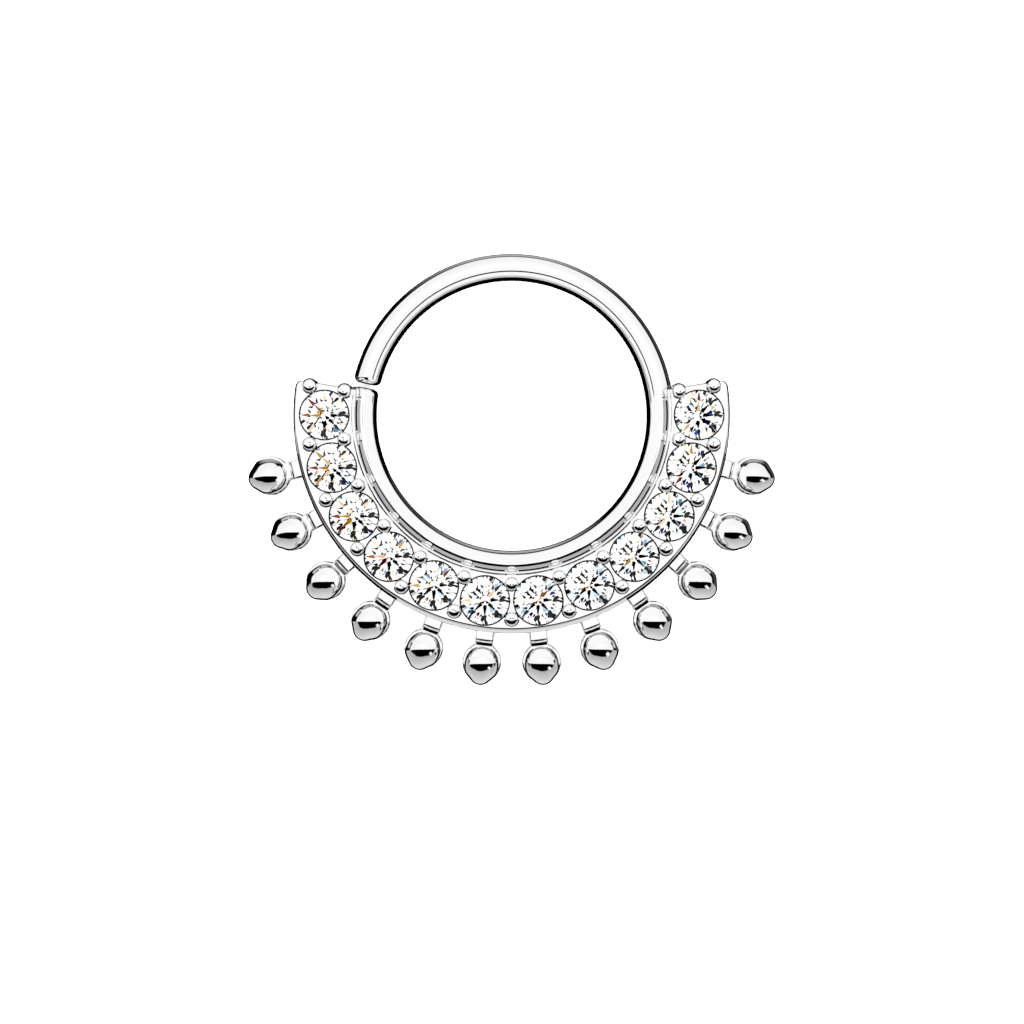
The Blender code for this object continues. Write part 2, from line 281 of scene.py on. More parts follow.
def carved(body: Mesh, cutters: Sequence[Mesh]) -> Mesh:
    """A mesh with others cut out of it.

    Args:
        body: The mesh to cut, in millimetres, because the cutter loses points that are very close.
        cutters: Closed meshes.

    Returns:
        The cut mesh, in metres.
    """
    scene = bpy.context.scene
    kit = bpy.data.collections.new("cutting_tools")
    scene.collection.children.link(kit)
    for mesh in cutters:
        kit.objects.link(bpy.data.objects.new(mesh.name, mesh))
    blank = bpy.data.objects.new(body.name, body)
    scene.collection.objects.link(blank)
    cut = blank.modifiers.new("Cut", "BOOLEAN")
    cut.operation, cut.operand_type, cut.solver, cut.collection = "DIFFERENCE", "COLLECTION", "EXACT", kit
    shaped = bpy.data.meshes.new_from_object(blank.evaluated_get(bpy.context.evaluated_depsgraph_get()))
    for thing in [*kit.objects, blank]:
        bpy.data.objects.remove(thing, do_unlink=True)
    bpy.data.collections.remove(kit)
    shaped.transform(Matrix.Scale(MM, 4))
    return shaped


# Node trees written as expressions


def operator(operation: str, swapped: bool = False) -> Callable[["Value", Number], "Value"]:
    """The method of an arithmetic sign.

    Args:
        operation: The Math node's operation.
        swapped: True where the number on the left comes first.

    Returns:
        The method.
    """

    def apply(value: "Value", other: Number) -> "Value":
        """One Math node of both numbers."""
        return value.maths(operation, *((other, value) if swapped else (value, other)))

    return apply


class Value:
    """A number that changes over a surface: one output socket, with the arithmetic that adds Math nodes."""

    __add__, __radd__ = operator("ADD"), operator("ADD", swapped=True)
    __sub__, __rsub__ = operator("SUBTRACT"), operator("SUBTRACT", swapped=True)
    __mul__, __truediv__ = operator("MULTIPLY"), operator("DIVIDE")

    def __init__(self, graph: "Graph", socket: NodeSocket) -> None:
        """Keeps the socket and the graph that new nodes go into."""
        self.graph = graph
        self.socket = socket

    def maths(self, operation: str, *operands: Number, clamp: bool = False) -> "Value":
        """A Math node's result from its operands in order, held between 0 and 1 if it is clamped."""
        settings = {"operation": operation, "use_clamp": clamp}
        made = self.graph.node("ShaderNodeMath", settings, dict(enumerate(operands)))
        return Value(self.graph, made.outputs[0])

    def root(self) -> "Value":
        """The square root."""
        return self.maths("SQRT", self)

    def wave(self) -> "Value":
        """The sine."""
        return self.maths("SINE", self)

    def size(self) -> "Value":
        """The number without its sign."""
        return self.maths("ABSOLUTE", self)

    def clamped(self) -> "Value":
        """The number held between 0 and 1."""
        return self.maths("ADD", self, 0.0, clamp=True)

    def above(self, level: Number, softness: float) -> "Value":
        """A soft step: 0 well below the level and 1 well above it, with this softness as its width."""
        return self.maths("MULTIPLY_ADD", self - level, 1 / softness, 0.5, clamp=True)

    def between(self, low: Number, high: Number) -> "Value":
        """This mask as a blend: low where it is 0 and high where it is 1."""
        return (1 - self) * low + self * high


class Graph:
    """A node tree that is filled from expressions."""

    def __init__(self, owner: Material | World) -> None:
        """Gives a material or a world an empty tree."""
        owner.use_nodes = True
        owner.node_tree.nodes.clear()
        self.owner, self.tree = owner, owner.node_tree

    def node(self, kind: str, settings: Inputs | None = None, inputs: Inputs | None = None) -> Node:
        """Adds a node.

        Args:
            kind: The node's type.
            settings: Its properties, which are set first.
            inputs: By socket name or number: plain values, or what to link, a node by its first output.

        Returns:
            The node.
        """
        made = self.tree.nodes.new(kind)
        for name, value in (settings or {}).items():
            setattr(made, name, value)
        for key, value in (inputs or {}).items():
            if isinstance(value, Node):
                value = value.outputs[0]
            elif isinstance(value, Value):
                value = value.socket
            if isinstance(value, NodeSocket):
                self.tree.links.new(value, made.inputs[key])
            else:
                made.inputs[key].default_value = value
        return made

    def surface(self, kind: str, inputs: Inputs, end: str = "ShaderNodeOutputMaterial") -> Material | World:
        """Adds the shader and the output node that the tree ends in, and gives what the tree belongs to."""
        self.node(end, {}, {"Surface": self.node(kind, {}, inputs)})
        return self.owner

    def mixed(self, share: Value, first: object, second: object) -> NodeSocket:
        """A blend of two colours or sockets: the first where the share is 0, the second where it is 1."""
        inputs = {"Factor": share, 6: first, 7: second}
        return self.node("ShaderNodeMix", {"data_type": "RGBA"}, inputs).outputs[2]

    def noise(self, place: object, size: float, detail: float, roughness: float = 0.5) -> Value:
        """Random blotches about one half, of a size in millimetres, with finer layers and their strength."""
        inputs = {"Vector": place, "Scale": 1 / (size * MM), "Detail": detail, "Roughness": roughness}
        return Value(self, self.node("ShaderNodeTexNoise", {"noise_dimensions": "3D"}, inputs).outputs["Fac"])

    def split(self, vector: object) -> list[Value]:
        """A vector's three coordinates."""
        outputs = self.node("ShaderNodeSeparateXYZ", {}, {0: vector}).outputs
        return [Value(self, outputs[axis]) for axis in "XYZ"]

    def place(self) -> NodeSocket:
        """The point on the piece, in metres."""
        return self.node("ShaderNodeTexCoord").outputs["Object"]


def grey(level: float) -> Numbers:
    """A colour without hue."""
    return level, level, level, 1.0


# Finishes


@dataclass(frozen=True)
class BrightSteel:
    """Polished steel: faint cloudiness left by the buff, hair-fine polishing lines, and painted shade in the
    hollows.

    Lengths are in millimetres. The shares are parts of the dullness. The lines are a noise stretched along
    one axis. The hollow is two radii round the hoop's centre and two heights; there the colour is painted
    dark as shade, and the metal is rougher.
    """

    name: str
    tone: Colour = (0.93, 0.932, 0.938)
    dull_tone: Colour = (0.86, 0.862, 0.868)
    roughness: float = 0.025
    haze: float = 0.035
    cloud_size: float = 0.9
    cloud_detail: Pair = (3.0, 0.55)
    cloud_edge: Pair = (0.5, 0.5)
    cloud_share: float = 0.35
    line_width: float = 0.02
    line_stretch: Numbers = (1.0, 0.08, 1.0)
    line_depth: float = 0.00004
    line_strength: float = 0.25
    line_share: float = 0.15
    hollow: Numbers | None = None
    # painted shade: the dark colour given to the metal in the hollow
    painted_shade_tone: Colour = (0.10, 0.10, 0.105)
    hollow_share: float = 0.6
    hollow_softness: float = 0.02
    centre_y: float = 0.0

    def inside(self, graph: Graph, place: NodeSocket) -> Value:
        """Where the metal lies in the hollow, whose colour is painted dark as shade.

        Args:
            graph: The material's graph.
            place: The point on the piece.

        Returns:
            1 in the hollow, where shade is painted, and 0 on the outer faces.
        """
        near, far, low, high = (length * MM for length in self.hollow)
        soft = self.hollow_softness * MM
        x, y, z = graph.split(place)
        y = y - self.centre_y * MM
        reach = (x * x + y * y).root()
        ring = reach.above(near, soft) * (1 - reach.above(far, soft))
        return ring * z.above(low, soft) * (1 - z.above(high, soft))

    def material(self) -> Material:
        """The finish as a node material.

        Returns:
            A material whose colour, roughness and bump vary from place to place, with painted shade in any
            hollow.
        """
        graph = Graph(bpy.data.materials.new(self.name))
        place = graph.place()
        clouds = graph.noise(place, self.cloud_size, *self.cloud_detail).above(*self.cloud_edge)
        stretched = graph.node("ShaderNodeMapping", {}, {"Vector": place, "Scale": self.line_stretch})
        lines = graph.noise(stretched, self.line_width, detail=2.0)
        dull = (clouds * self.cloud_share + lines * self.line_share).clamped()
        colour = graph.mixed(dull, (*self.tone, 1.0), (*self.dull_tone, 1.0))
        if self.hollow:
            # painted shade: in the hollow the colour turns dark, and the roughness rises
            hollow = self.inside(graph, place)
            dull = (dull + hollow * self.hollow_share).clamped()
            colour = graph.mixed(hollow, colour, (*self.painted_shade_tone, 1.0))
        relief = {"Strength": self.line_strength, "Distance": self.line_depth * MM, "Height": lines}
        coat = {
            "Base Color": colour,
            "Metallic": 1.0,
            "Roughness": self.roughness + dull * self.haze,
            "Normal": graph.node("ShaderNodeBump", {}, relief),
        }
        return graph.surface("ShaderNodeBsdfPrincipled", coat)


@dataclass(frozen=True)
class CutCrystal:
    """Clear cut stone: bright, with a breath of warm and cool tint from facet to facet and polish haze."""

    name: str
    refraction: float = 2.4
    outer_glare: float = 0.2
    warm: Colour = (1.0, 0.985, 0.965)
    cool: Colour = (0.965, 0.985, 1.0)
    tint_size: float = 0.45
    tint_edge: Pair = (0.5, 0.3)
    haze_size: float = 0.12
    haze: float = 0.004

    def material(self) -> Material:
        """The finish as a node material.

        Returns:
            A glass-clear material with a slight play of colour.
        """
        graph = Graph(bpy.data.materials.new(self.name))
        place = graph.place()
        play = graph.noise(place, self.tint_size, detail=1.0).above(*self.tint_edge)
        coat = {
            "Base Color": graph.mixed(play, (*self.warm, 1.0), (*self.cool, 1.0)),
            "Roughness": graph.noise(place, self.haze_size, detail=2.0) * self.haze,
            "IOR": self.refraction,
            "Specular Tint": grey(self.outer_glare),
            "Transmission Weight": 1.0,
        }
        return graph.surface("ShaderNodeBsdfPrincipled", coat)


# The ring's sub-assemblies


@dataclass
class Bench:
    """Where finished pieces go: it sets them on the frame, dresses them and reports them."""

    centre_y: float

    def lay(
        self, name: str, shape: Shell | Mesh, finish: Material, sharp: float = CRISP
    ) -> Object:
        """Makes a piece that rides on the ring.

        Args:
            name: The piece's name.
            shape: Its shell, or its finished mesh.
            finish: Its material.
            sharp: Edges of the shell that turn by more degrees than this stay crisp.

        Returns:
            The piece.
        """
        mesh = shape.mesh(name, self.centre_y, sharp) if isinstance(shape, Shell) else shape
        piece = bpy.data.objects.new(name, mesh)
        bpy.context.scene.collection.objects.link(piece)
        mesh.materials.clear()
        mesh.materials.append(finish)
        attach(piece, "root")
        LOG.info("%s: %d faces", name, len(mesh.polygons))
        return piece


@dataclass
class HoopWire:
    """The round wire, bent nearly full circle, with rounded ends at the cut."""

    wire_radius: float = 0.4
    hoop_radius: float = 4.385
    height: float = 0.45
    cut_angle: float = 168.4
    cut_gap: float = 0.13
    end_rounding: float = 0.18
    end_flat: float = 0.93
    stations: int = 540
    sides: int = 56
    rounding_steps: int = 8

    def shell(self) -> Shell:
        """The wire's surface.

        A circle is carried along the hoop's. At the ends its radius shrinks as a quarter circle: the inset is
        the rounding times one less the sine of a step, and the radius lost is it times one less the cosine.

        Returns:
            The closed shell.
        """
        half_cut = math.degrees(self.cut_gap / 2 / self.hoop_radius)
        start, end = self.cut_angle + half_cut, self.cut_angle + 360 - half_cut
        turn = np.linspace(math.pi / 2, 0, self.rounding_steps + 1)
        inset = np.degrees(self.end_rounding * (1 - np.sin(turn)) / self.hoop_radius)
        narrowed = self.wire_radius - self.end_rounding * (1 - np.cos(turn))
        run = np.linspace(start + inset[-1], end - inset[-1], self.stations)[1:-1]
        flat = (self.wire_radius - self.end_rounding) * self.end_flat
        angle = np.radians(np.concatenate(([start], start + inset, run, end - inset[::-1], [end])))
        full = np.full(len(run), self.wire_radius)
        radius = np.concatenate(([flat], narrowed, full, narrowed[::-1], [flat]))[:, None]
        side = full_turn(self.sides)
        out = self.hoop_radius + radius * np.cos(side)
        rings = polar(out, angle[:, None], self.height + radius * np.sin(side))
        return capped(rings, *polar(self.hoop_radius, angle[[0, -1]], self.height))

    def build(self, bench: Bench, finish: Material) -> None:
        """Lays the wire on the bench and hides the imported soldered setting, which the new pieces replace.
        Lays the wire on the bench, where it stands for the whole soldered setting.
        """
        piece = bench.lay("hoop_wire", self.shell(), finish)
        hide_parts("hoop_setting")


@dataclass
class StoneRow:
    """The twelve round stones: where they sit and how they are cut."""

    count: int = 12
    row_radius: float = 5.49
    stone_radius: float = 0.715
    girdle_top: float = 1.15
    girdle_thickness: float = 0.03
    crown_angle: float = 34.5
    pavilion_angle: float = 40.75
    table_share: float = 0.57
    star_share: float = 0.5
    pavilion_share: float = 0.22
    facet_edge: float = 0.2

    @property
    def pitch(self) -> float:
        """The angle from one stone to the next, in degrees."""
        return 180.0 / (self.count - 1)

    @property
    def crown(self) -> float:
        """How far a stone's flat table stands above its girdle."""
        return self.stone_radius * (1 - self.table_share) * math.tan(math.radians(self.crown_angle))

    def angles(self) -> Array:
        """Each stone's angle round the hoop's centre."""
        return 180 + self.pitch * np.arange(self.count)

    def bridges(self) -> Array:
        """The angles midway between stones, and at both ends of the row."""
        return 180 + self.pitch * (np.arange(self.count + 1) - 0.5)

    def middles(self) -> Array:
        """Each stone's place: the middle of its girdle's upper edge."""
        return polar(self.row_radius, np.radians(self.angles()), self.girdle_top)

    def brilliant(self) -> Shell:
        """A round brilliant at the origin, with the girdle's upper edge at height zero.

        Rings of points, in stone radii: eight table corners, eight star points half a step on, sixteen girdle
        points on two levels, eight points low on the pavilion, and the culet. A height is one less the
        distance along the main facet's direction, times the slope of the crown or of the pavilion.

        Returns:
            The closed shell of flat facets.
        """
        crown, pavilion = (math.tan(math.radians(a)) for a in (self.crown_angle, self.pavilion_angle))
        half = math.cos(math.pi / 8)
        star = self.table_share * half + self.star_share * (1 - self.table_share * half)
        girdle = self.girdle_thickness / self.stone_radius
        rings = (
            (8, 0.0, self.table_share, (1 - self.table_share) * crown),
            (8, 0.5, star, (1 - star * half) * crown),
            (16, 0.0, 1.0, 0.0),
            (16, 0.0, 1.0, -girdle),
            (8, 0.5, self.pavilion_share, -girdle - (1 - self.pavilion_share * half) * pavilion),
            (1, 0.0, 0.0, -girdle - pavilion),
        )
        points = [
            polar(radius, (np.arange(count) + phase) * 2 * math.pi / count, height)
            for count, phase, radius, height in rings
        ]
        k, m = np.arange(8), np.arange(16)
        table, low = k, 48 + k
        stars, past_star = 8 + k, 8 + np.roll(k, 1)
        upper, lower = 16 + m, 32 + m
        culet = np.full(8, 56)
        facets = (
            (table, stars, np.roll(table, -1)),
            (table, past_star, upper[::2], stars),
            (np.repeat(stars, 2), upper, np.roll(upper, -1)),
            (upper, lower, np.roll(lower, -1), np.roll(upper, -1)),
            (np.repeat(low, 2), np.roll(lower, -1), lower),
            (lower[::2], np.roll(low, 1), culet, low),
        )
        faces = [table[None, :], *(np.column_stack(corners) for corners in facets)]
        return Shell(np.concatenate(points) * self.stone_radius, faces).outward()

    def build(self, bench: Bench, finish: Material) -> None:
        """Cuts the twelve stones and lays each in its seat, all turned alike in the picture.

        Args:
            bench: The bench.
            finish: The crystal.
        """
        stone = self.brilliant()
        for i, middle in enumerate(self.middles()):
            name = f"brilliant_{i + 1:02d}"
            piece = bench.lay(name, stone.moved(*middle), finish, self.facet_edge)
            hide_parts(f"stone_{i + 1:02d}")


@dataclass
class Gallery:
    """The half-moon plate with its seats, open backs and the windows in its inner wall.

    The rail is two distances from the inner edge, the height of its sides and its rise. The window is its
    width and two heights.
    """

    stones: StoneRow
    inner: float = 4.59
    outer: float = 6.41
    top: float = 1.15
    overrun: float = 1.22
    corner: float = 0.2
    inner_corner: float = 0.05
    outer_rounding: float = 0.17
    side_rounding: float = 0.11
    inner_rounding: float = 0.02
    end_rounding: float = 0.05
    steepness: float = 1.8
    rounding_steps: int = 16
    corner_steps: int = 12
    arc_steps: int = 360
    flat_edge: float = 4.0
    rail: Numbers = (0.002, 0.112, 1.14, 0.04)
    rail_foot: float = 0.06
    rail_inset: float = 0.3
    seat_gap: float = 0.02
    seat_lip: float = 0.012
    seat_sides: int = 72
    back_hole: float = 0.52
    overcut: float = 0.2
    window: Numbers = (0.9, 0.7, 0.845)
    window_reach: float = 0.12

    def span(self) -> Pair:
        """The angles of the plate's two ends."""
        half = 90 + self.stones.pitch / 2 + self.overrun
        return 270 - half, 270 + half

    def edge_rail(self) -> Shell:
        """The low half-round rail along the inner edge of the face.

        Returns:
            The closed shell: half an ellipse on upright sides, carried round from end to end.
        """
        near, far, level, rise = self.rail
        turn = np.radians(np.linspace(0, 180, self.corner_steps + 1))
        middle, half = self.inner + (near + far) / 2, (far - near) / 2
        crown = np.column_stack((middle + half * np.cos(turn), level + rise * np.sin(turn)))
        foot = [(middle - half, level - self.rail_foot), (middle + half, level - self.rail_foot)]
        start, end = self.span()
        return swept(np.vstack((crown, foot)), start + self.rail_inset, end - self.rail_inset, self.arc_steps)

    def outline(self) -> tuple[Array, Array]:
        """The plate's outline and the rounding's width at each of its points.

        On the outer arc the width runs from the sides' to the full one with the square of y over the radius.

        Returns:
            Rows of x and y, anticlockwise, and the widths.
        """
        start, end = self.span()
        reach, near = self.outer - self.corner, self.inner + self.inner_corner
        turn = math.degrees(math.asin(self.corner / reach))
        near_turn = math.degrees(math.asin(self.inner_corner / near))

        def bend(radius: float, angle: float, size: float, first: float, last: float) -> Array:
            """A corner: an arc round the point at this radius and angle."""
            return arc(polar(radius, math.radians(angle), 0.0), size, first, last, self.corner_steps)

        rim = arc((0, 0), self.outer, start + turn, end - turn, self.arc_steps)[1:-1]
        bore = arc((0, 0), self.inner, end - near_turn, start + near_turn, self.arc_steps)[1:-1]
        fullness = (rim[:, 1] / self.outer) ** 2
        ease = np.linspace(self.end_rounding, self.side_rounding, self.corner_steps + 1)
        small = self.inner_corner
        parts = (
            (bend(reach, start + turn, self.corner, start - 90, start + turn), ease),
            (rim, self.side_rounding + (self.outer_rounding - self.side_rounding) * fullness),
            (bend(reach, end - turn, self.corner, end - turn, end + 90), ease[::-1]),
            (bend(near, end - near_turn, small, end + 90, end + 180 - near_turn), self.end_rounding),
            (bore, self.inner_rounding),
            (bend(near, start + near_turn, small, start + 180 + near_turn, start + 270), self.end_rounding),
        )
        widths = [np.broadcast_to(width, len(points)) for points, width in parts]
        return np.concatenate([points for points, _ in parts]), np.concatenate(widths)

    def seat(self) -> Shell:
        """The space cut for a stone, with its clearance, a small lip and the open hole behind.

        Returns:
            The closed shell at the origin.
        """
        stones = self.stones
        radius = stones.stone_radius + self.seat_gap
        ledge = stones.girdle_top - stones.girdle_thickness - self.seat_gap
        depth = (radius - self.back_hole) * math.tan(math.radians(stones.pavilion_angle))
        head = stones.girdle_top + stones.crown + self.seat_gap
        profile = [
            (0.0, head),
            (radius + self.seat_lip, head),
            (radius + self.seat_lip, self.top),
            (radius, self.top - self.seat_lip),
            (radius, ledge),
            (self.back_hole, ledge - depth),
            (self.back_hole, -self.overcut),
            (0.0, -self.overcut),
        ]
        return turned_profile(np.array(profile), self.seat_sides)

    def build(self, bench: Bench, finish: Material) -> None:
        """Cuts the plate and lays it on the bench, with the rail on its edge.

        Args:
            bench: The bench.
            finish: The plate's material.
        """
        plate = rounded_plate(*self.outline(), self.top, self.rounding_steps, self.steepness, bridge=True)
        width, low, high = self.window
        mouth = rectangle(self.inner - self.overcut, -width / 2, self.inner + self.window_reach, width / 2)
        tools = (("seat", self.seat().moved(self.stones.row_radius)), ("window", slab(mouth, low, high)))
        cutters = [
            shell.turned(angle).mesh(name, bench.centre_y, unit=1.0)
            for angle in self.stones.angles()
            for name, shell in tools
        ]
        mesh = carved(plate.mesh("gallery", bench.centre_y, unit=1.0), cutters)
        mesh.name = "gallery"
        mesh.shade_smooth()
        mesh.set_sharp_from_angle(angle=math.radians(self.flat_edge))
        bench.lay("gallery", mesh, finish)
        bench.lay("edge_rail", self.edge_rail(), finish)


@dataclass
class Prongs:
    """Round-headed posts at both ends of every bridge, with flattened, burnished heads."""

    stones: StoneRow
    radius: float = 0.205
    foot: float = 0.3
    crest: float = 1.42
    head_height: float = 0.19
    head_power: float = 4.0
    flare: float = 0.028
    flare_drop: float = 0.09
    rows: Pair = (4.945, 5.975)
    sides: int = 40
    steps: int = 18

    def prong(self) -> Shell:
        """One prong at the origin.

        The head's section is a superellipse: radius and height rise as a step's cosine and sine to the power
        of two over the head's own, which flattens its crown. Below it the post flares a little.

        Returns:
            The closed shell.
        """
        turn = np.linspace(math.pi / 2, 0, self.steps + 1)
        power = 2 / self.head_power
        out = self.radius * np.cos(turn) ** power
        up = self.crest - self.head_height * (1 - np.sin(turn) ** power)
        out[0] = 0.0
        wide, neck = self.radius + self.flare, self.crest - self.head_height - self.flare_drop
        post = [(wide, neck), (wide, self.foot), (0.0, self.foot)]
        return turned_profile(np.vstack((np.column_stack((out, up)), post)), self.sides)

    def build(self, bench: Bench, finish: Material) -> None:
        """Sets two prongs at every bridge.

        Args:
            bench: The bench.
            finish: The prongs' material.
        """
        prong = self.prong()
        shells = [prong.moved(row).turned(angle) for angle in self.stones.bridges() for row in self.rows]
        bench.lay("prongs", joined(shells), finish)


@dataclass
class Ribs:
    """Half-round bars up the gallery's inner wall, between its windows."""

    stones: StoneRow
    radius: float = 0.17
    row: float = 4.66
    foot: float = 0.3
    top: float = 1.06
    rounding: float = 0.08
    sides: int = 40
    steps: int = 6

    def build(self, bench: Bench, finish: Material) -> None:
        """Sets a rib below every inner prong. Its top edge is a quarter circle from the flat end to the side.

        Args:
            bench: The bench.
            finish: The ribs' material.
        """
        crown = arc((self.radius - self.rounding, self.top - self.rounding), self.rounding, 90, 0, self.steps)
        profile = np.vstack(([(0.0, self.top)], crown, [(self.radius, self.foot), (0.0, self.foot)]))
        rib = turned_profile(profile, self.sides).moved(self.row)
        bench.lay("ribs", joined(rib.turned(angle) for angle in self.stones.bridges()), finish)


@dataclass
class Drops:
    """The fringe: flat stems with a sloping end, thin egg-shaped bases and domes on them."""

    count: int = 12
    pitch: float = 13.84
    stem_width: float = 0.52
    stem_top: float = 0.42
    stem_start: float = 6.3
    stem_end: float = 6.64
    stem_rounding: float = 0.04
    end_rounding: float = 0.12
    roll_angles: Pair = (90.0, 2.0)
    roll_steps: int = 8
    tongue_end: float = 6.95
    tongue_top: float = 0.295
    base_top: float = 0.3
    base_radius: float = 0.575
    base_tip: float = 0.355
    base_rounding: float = 0.045
    base_steps: int = 30
    rounding_steps: int = 6
    rim: float = 0.062
    least_rim: float = 0.004
    rim_angles: Pair = (50.0, 95.0)
    dome_height: float = 0.51
    dome_steps: int = 20
    dome_foot: float = 0.25
    edge_steps: int = 24
    centre: float = 7.36
    tip_centre: float = 7.669
    shoulder: float = 6.8
    side_steps: int = 5
    flat_edge: float = 5.0

    @property
    def reach(self) -> float:
        """How far below the hoop's centre the lowest drops end."""
        return self.tip_centre * math.cos(math.radians(self.pitch / 2)) + self.base_tip

    def angles(self) -> Array:
        """Each drop's angle round the hoop's centre."""
        return 270 + self.pitch * (np.arange(self.count) - (self.count - 1) / 2)

    def egg(self, steps: int) -> Array:
        """Half of the base's egg: a big arc, a straight side along their common tangent, and a small arc.

        Args:
            steps: Steps of each arc.

        Returns:
            Rows of distance from the hoop's centre and distance from the axis.
        """
        big, small = self.base_radius, self.base_tip
        tangent = math.degrees(math.acos((big - small) / (self.tip_centre - self.centre)))
        first = arc((self.centre, 0), big, 180, tangent, steps)
        last = arc((self.tip_centre, 0), small, tangent, 0, steps)
        share = np.linspace(0, 1, self.side_steps + 1)[1:-1, None]
        return np.concatenate((first, first[-1] * (1 - share) + last[0] * share, last))

    def dome(self) -> Shell:
        """The cushion-shaped dome on a base.

        It leaves a rim inside the base's edge, which grows from the tip by the squared sine of how far the
        angle has gone between two. Each ring stands at the foot plus the height times a step's sine. It is
        the step's cosine times a blend of the edge and a circle, that cosine squared being the edge's share.

        Returns:
            The closed shell, along +X.
        """
        offset = self.egg(self.edge_steps) - (self.centre, 0.0)
        first, full = np.radians(self.rim_angles)
        gone = np.clip((np.arctan2(offset[:, 1], offset[:, 0]) - first) / (full - first), 0, 1)
        rim = self.least_rim + (self.rim - self.least_rim) * np.sin(gone * math.pi / 2) ** 2
        length = np.linalg.norm(offset, axis=1)
        edge = offset * (1 - rim / length)[:, None]
        circle = offset * ((self.base_radius - self.rim) / length)[:, None]
        edge, circle = (np.concatenate((half, half[-2:0:-1] * (1, -1))) for half in (edge, circle))
        turn = np.linspace(0, math.pi / 2, self.dome_steps + 1)[:-1, None, None]
        drawn = np.cos(turn)
        share = drawn**2
        plan = drawn * (share * edge + (1 - share) * circle) + (self.centre, 0.0)
        level = np.broadcast_to(self.dome_foot + self.dome_height * np.sin(turn), (*plan.shape[:2], 1))
        peak = np.array((self.centre, 0.0, self.dome_foot + self.dome_height))
        return capped(np.concatenate((plan, level), axis=-1), None, peak)

    def base(self) -> Shell:
        """The thin base under a dome, with shoulders that run out to the stem.

        Returns:
            The closed shell, along +X.
        """
        half = self.egg(self.base_steps)
        kept = half[(half[:, 1] > self.stem_width / 2) | (half[:, 0] > self.centre)]
        half = np.vstack(([(self.shoulder, self.stem_width / 2)], kept))
        outline = np.concatenate((half, half[-2::-1] * (1, -1)))[::-1]
        return rounded_plate(outline, self.base_rounding, self.base_top, self.rounding_steps)

    def stem(self) -> Shell:
        """The stem: a bar with rounded upper edges, whose end rolls down to a tongue inside the base.

        The section is carried along the bar, and its heights are scaled to the top's height at each station.

        Returns:
            The closed shell, along +X.
        """
        half, rounding = self.stem_width / 2, self.stem_rounding
        right = arc((half - rounding, self.stem_top - rounding), rounding, 0, 90, self.rounding_steps)
        left = arc((rounding - half, self.stem_top - rounding), rounding, 90, 180, self.rounding_steps)
        section = np.concatenate(([(half, 0.0)], right, left, [(-half, 0.0)]))
        bend = (self.stem_end, self.stem_top - self.end_rounding)
        roll = arc(bend, self.end_rounding, *self.roll_angles, self.roll_steps)
        top = np.vstack(([(self.stem_start, self.stem_top)], roll, [(self.tongue_end, self.tongue_top)]))
        along, level = top[:, :1], section[:, 1] * (top[:, 1:] / self.stem_top)
        return capped(np.stack(np.broadcast_arrays(along, section[:, 0], level), axis=-1))

    def build(self, bench: Bench, finish: Material) -> None:
        """Solders every stem, base and dome round the gallery.

        Args:
            bench: The bench.
            finish: The drops' material.
        """
        for name, shell, sharp in (
            ("drop_stems", self.stem(), self.flat_edge),
            ("drop_bases", self.base(), self.flat_edge),
            ("drop_domes", self.dome(), CRISP),
        ):
            bench.lay(name, joined(shell.turned(angle) for angle in self.angles()), finish, sharp=sharp)


# The studio


